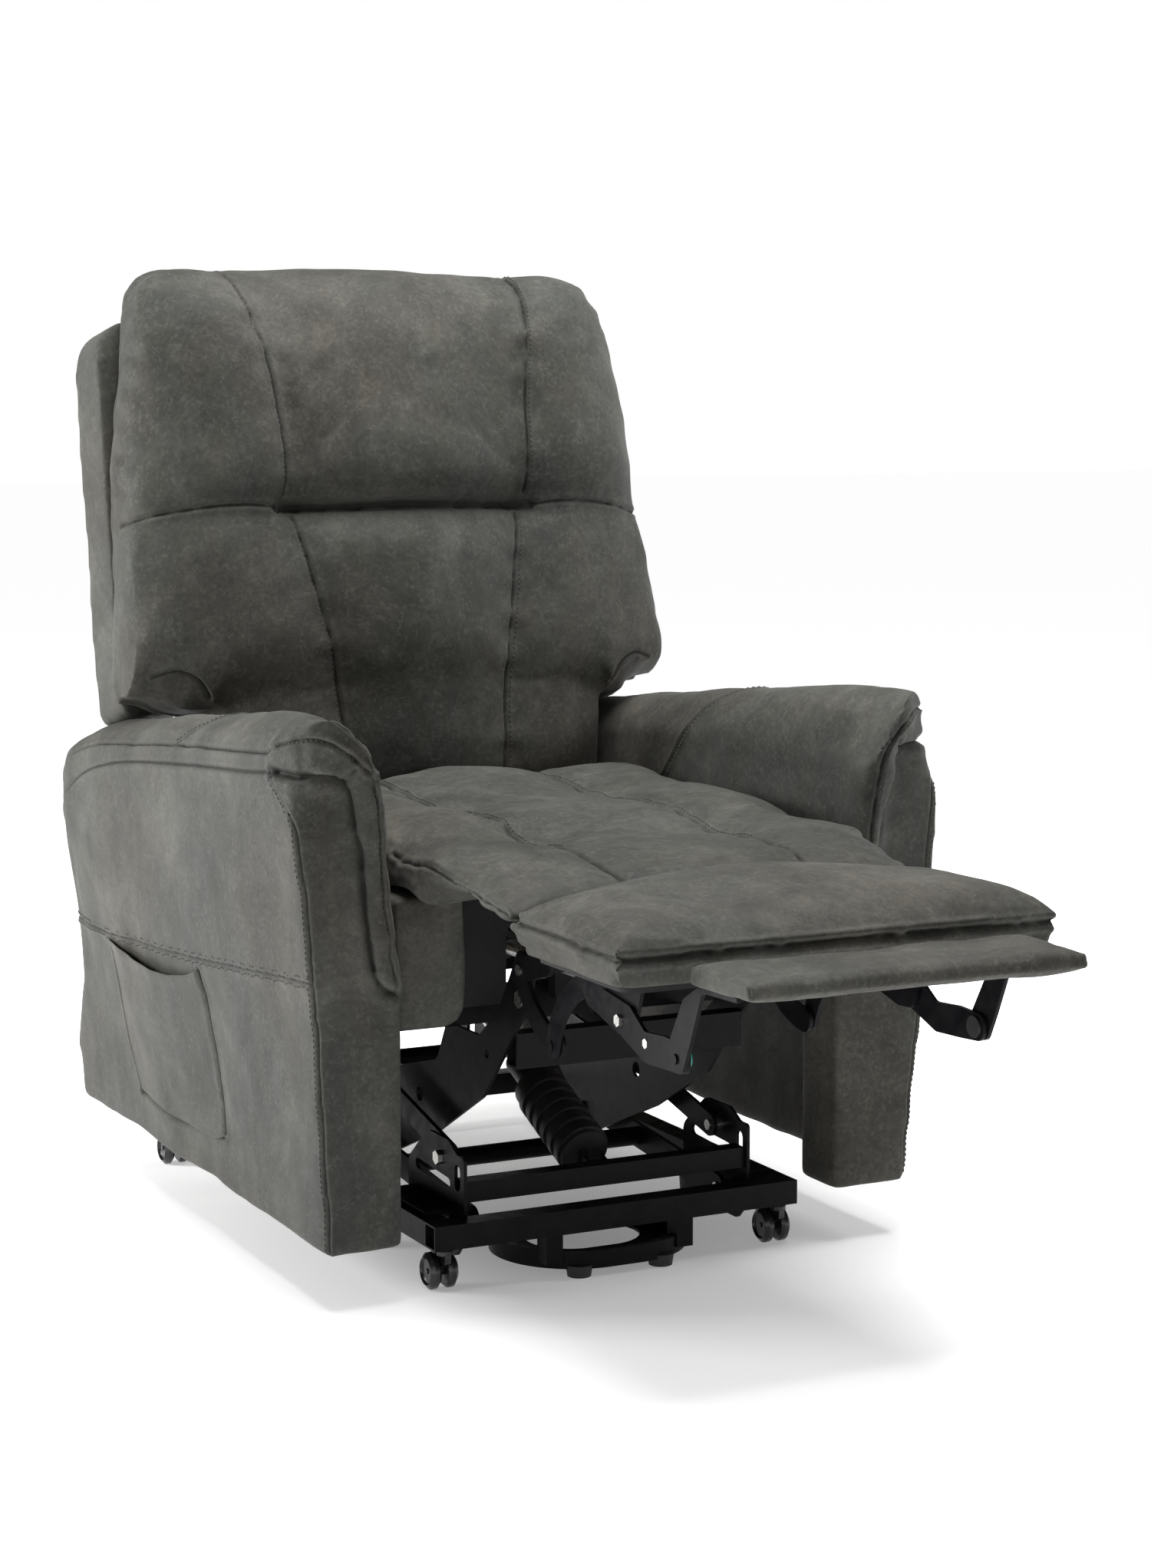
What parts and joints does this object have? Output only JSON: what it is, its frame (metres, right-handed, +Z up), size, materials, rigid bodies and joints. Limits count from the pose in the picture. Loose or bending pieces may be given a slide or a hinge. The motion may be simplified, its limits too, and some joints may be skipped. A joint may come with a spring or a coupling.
{
  "type": "lift recliner chair",
  "caption": "Upholstered powered lift and recline armchair with a chaise legrest, a flip-out foot flap and a steel lift base on castors.",
  "frame": {"origin": "centre of the footprint on the floor, with the legrest out, the back up and the lift down", "axes": "+Z up, the sitter faces -Y, +X to the side without the pocket"},
  "size_m": [0.784, 1.4658, 1.108],
  "materials": {
    "suede": "matt, mottled",
    "black_steel": "satin",
    "zinc": "satin",
    "castor_plastic": "gloss",
    "rubber": "matt",
    "timber": "raw",
    "motor_plastic": "matt",
    "washer_plastic": "satin",
    "spring_wire": "satin",
    "foam_cover": "matt, mottled"
  },
  "bodies": {
    "base": {"base_front_tube": "black_steel", "base_rear_tube": "black_steel", "base_side_rails": "black_steel", "rail_feet": "rubber", "tower_plates": "black_steel", "front_bar": "black_steel", "tower_pins": "zinc", "floor_loop": "black_steel", "loop_pads": "rubber"},
    "castor_fork_front_left": {"castor_fork_front_left": "castor_plastic"},
    "castor_wheels_front_left": {"castor_wheels_front_left": "castor_plastic"},
    "castor_fork_front_right": {"castor_fork_front_right": "castor_plastic"},
    "castor_wheels_front_right": {"castor_wheels_front_right": "castor_plastic"},
    "castor_fork_rear_left": {"castor_fork_rear_left": "castor_plastic"},
    "castor_wheels_rear_left": {"castor_wheels_rear_left": "castor_plastic"},
    "castor_fork_rear_right": {"castor_fork_rear_right": "castor_plastic"},
    "castor_wheels_rear_right": {"castor_wheels_rear_right": "castor_plastic"},
    "lower_link": {"lower_lift_links": "black_steel"},
    "upper_link": {"upper_lift_links": "black_steel"},
    "lift_motor": {"lift_motor": "motor_plastic"},
    "lift_motor_rod": {"lift_motor_rod": "zinc"},
    "seat": {"lift_side_plates": "black_steel", "side_plate_pins": "zinc", "lift_cross_member": "black_steel", "lift_drive_tube": "black_steel", "seat_cross_bars": "black_steel", "seat_box_rails": "timber", "front_rail": "suede", "front_rail_pads": "suede", "spring_rail": "timber", "seat_springs": "spring_wire", "seat_cushion": "foam_cover", "chaise_bridge": "foam_cover", "arm_body_left": "suede", "arm_body_right": "suede", "arm_pad_left": "foam_cover", "arm_pad_right": "foam_cover", "arm_roll_left": "foam_cover", "arm_roll_right": "foam_cover", "side_pocket": "suede", "recline_brackets": "black_steel"},
    "drive_link": {"drive_links": "black_steel"},
    "crescent": {"crescent_links": "black_steel"},
    "legrest_motor": {"legrest_motor": "motor_plastic"},
    "legrest_motor_rod": {"legrest_motor_rod": "zinc"},
    "ottoman": {"calf_pad": "foam_cover", "calf_board": "timber", "legrest_brackets": "black_steel", "legrest_arms": "black_steel", "legrest_bolts": "zinc", "flap_washers": "washer_plastic"},
    "flap": {"flap_panel": "suede", "flap_brackets": "black_steel"},
    "back": {"back_shell": "foam_cover", "headrest_cushion": "foam_cover", "lumbar_cushion": "foam_cover", "back_brackets": "black_steel"},
    "recline_motor": {"recline_motor": "motor_plastic"},
    "recline_motor_rod": {"recline_motor_rod": "zinc"}
  },
  "joints": [
    {"name": "castor_swivel_front_left", "type": "hinge", "parent": "base", "child": "castor_fork_front_left", "pos_m": [0.205, -0.128, 0.048], "axis": [0, 0, 1], "continuous": true},
    {"name": "castor_roll_front_left", "type": "hinge", "parent": "castor_fork_front_left", "child": "castor_wheels_front_left", "pos_m": [0.205, -0.113, 0.02], "axis": [1, 0, 0], "continuous": true},
    {"name": "castor_swivel_front_right", "type": "hinge", "parent": "base", "child": "castor_fork_front_right", "pos_m": [-0.205, -0.128, 0.048], "axis": [0, 0, 1], "continuous": true},
    {"name": "castor_roll_front_right", "type": "hinge", "parent": "castor_fork_front_right", "child": "castor_wheels_front_right", "pos_m": [-0.205, -0.113, 0.02], "axis": [1, 0, 0], "continuous": true},
    {"name": "castor_swivel_rear_left", "type": "hinge", "parent": "base", "child": "castor_fork_rear_left", "pos_m": [0.281, 0.512, 0.048], "axis": [0, 0, 1], "continuous": true},
    {"name": "castor_roll_rear_left", "type": "hinge", "parent": "castor_fork_rear_left", "child": "castor_wheels_rear_left", "pos_m": [0.281, 0.527, 0.02], "axis": [1, 0, 0], "continuous": true},
    {"name": "castor_swivel_rear_right", "type": "hinge", "parent": "base", "child": "castor_fork_rear_right", "pos_m": [-0.281, 0.512, 0.048], "axis": [0, 0, 1], "continuous": true},
    {"name": "castor_roll_rear_right", "type": "hinge", "parent": "castor_fork_rear_right", "child": "castor_wheels_rear_right", "pos_m": [-0.281, 0.527, 0.02], "axis": [1, 0, 0], "continuous": true},
    {"name": "lift", "type": "hinge", "parent": "base", "child": "lower_link", "pos_m": [0, -0.084, 0.062], "axis": [1, 0, 0], "range_deg": [0, 50]},
    {"name": "lift_tilt", "type": "hinge", "parent": "lower_link", "child": "seat", "pos_m": [0, 0.224, 0.09], "axis": [1, 0, 0], "range_deg": [-29.65, 0]},
    {"name": "upper_link_turn", "type": "hinge", "parent": "base", "child": "upper_link", "pos_m": [0, -0.051, 0.126], "axis": [1, 0, 0], "range_deg": [0, 44.85]},
    {"name": "lift_motor_tilt", "type": "hinge", "parent": "base", "child": "lift_motor", "pos_m": [0, -0.071, 0.104], "axis": [1, 0, 0], "range_deg": [0, 47.73]},
    {"name": "lift_motor_stroke", "type": "slide", "parent": "lift_motor", "child": "lift_motor_rod", "axis": [0, 0.9233, 0.384], "range_m": [0, 0.03673]},
    {"name": "recline", "type": "hinge", "parent": "seat", "child": "back", "pos_m": [0, 0.579, 0.47], "axis": [-1, 0, 0], "range_deg": [0, 28]},
    {"name": "recline_motor_tilt", "type": "hinge", "parent": "seat", "child": "recline_motor", "pos_m": [0.062, 0.029, 0.318], "axis": [1, 0, 0], "range_deg": [0, 5.76]},
    {"name": "recline_motor_stroke", "type": "slide", "parent": "recline_motor", "child": "recline_motor_rod", "axis": [0, 0.9992, 0.0405], "range_m": [-0.05309, 0]},
    {"name": "legrest", "type": "hinge", "parent": "seat", "child": "drive_link", "pos_m": [0, -0.193, 0.354], "axis": [1, 0, 0], "range_deg": [0, 105], "deforming": ["chaise_bridge"]},
    {"name": "crescent_turn", "type": "hinge", "parent": "drive_link", "child": "crescent", "pos_m": [0, -0.283, 0.291], "axis": [1, 0, 0], "range_deg": [-120.9, 0]},
    {"name": "calf_pad_turn", "type": "hinge", "parent": "crescent", "child": "ottoman", "pos_m": [0, -0.381, 0.372], "axis": [1, 0, 0], "range_deg": [0, 102.9]},
    {"name": "flap_turn", "type": "hinge", "parent": "ottoman", "child": "flap", "pos_m": [0, -0.577, 0.337], "axis": [1, 0, 0], "range_deg": [0, 16.25]},
    {"name": "legrest_motor_tilt", "type": "hinge", "parent": "seat", "child": "legrest_motor", "pos_m": [-0.062, 0.322, 0.336], "axis": [1, 0, 0], "range_deg": [0, 4.51]},
    {"name": "legrest_motor_stroke", "type": "slide", "parent": "legrest_motor", "child": "legrest_motor_rod", "axis": [0, -0.9999, 0.0114], "range_m": [-0.05823, 0]}
  ],
  "couplings": [
    {"joint": "lift_tilt", "follows": "lift", "ratio": -0.583},
    {"joint": "upper_link_turn", "follows": "lift", "ratio": 0.887},
    {"joint": "lift_motor_tilt", "follows": "lift", "ratio": 0.94469},
    {"joint": "lift_motor_stroke", "follows": "lift", "m_per_rad": 0.040948},
    {"joint": "recline_motor_tilt", "follows": "recline", "ratio": 0.18787},
    {"joint": "recline_motor_stroke", "follows": "recline", "m_per_rad": -0.10659},
    {"joint": "crescent_turn", "follows": "legrest", "ratio": -1.1467},
    {"joint": "calf_pad_turn", "follows": "legrest", "ratio": 0.9752},
    {"joint": "flap_turn", "follows": "legrest", "ratio": 0.15},
    {"joint": "legrest_motor_tilt", "follows": "legrest", "ratio": 0.038231},
    {"joint": "legrest_motor_stroke", "follows": "legrest", "m_per_rad": -0.031227}
  ]
}
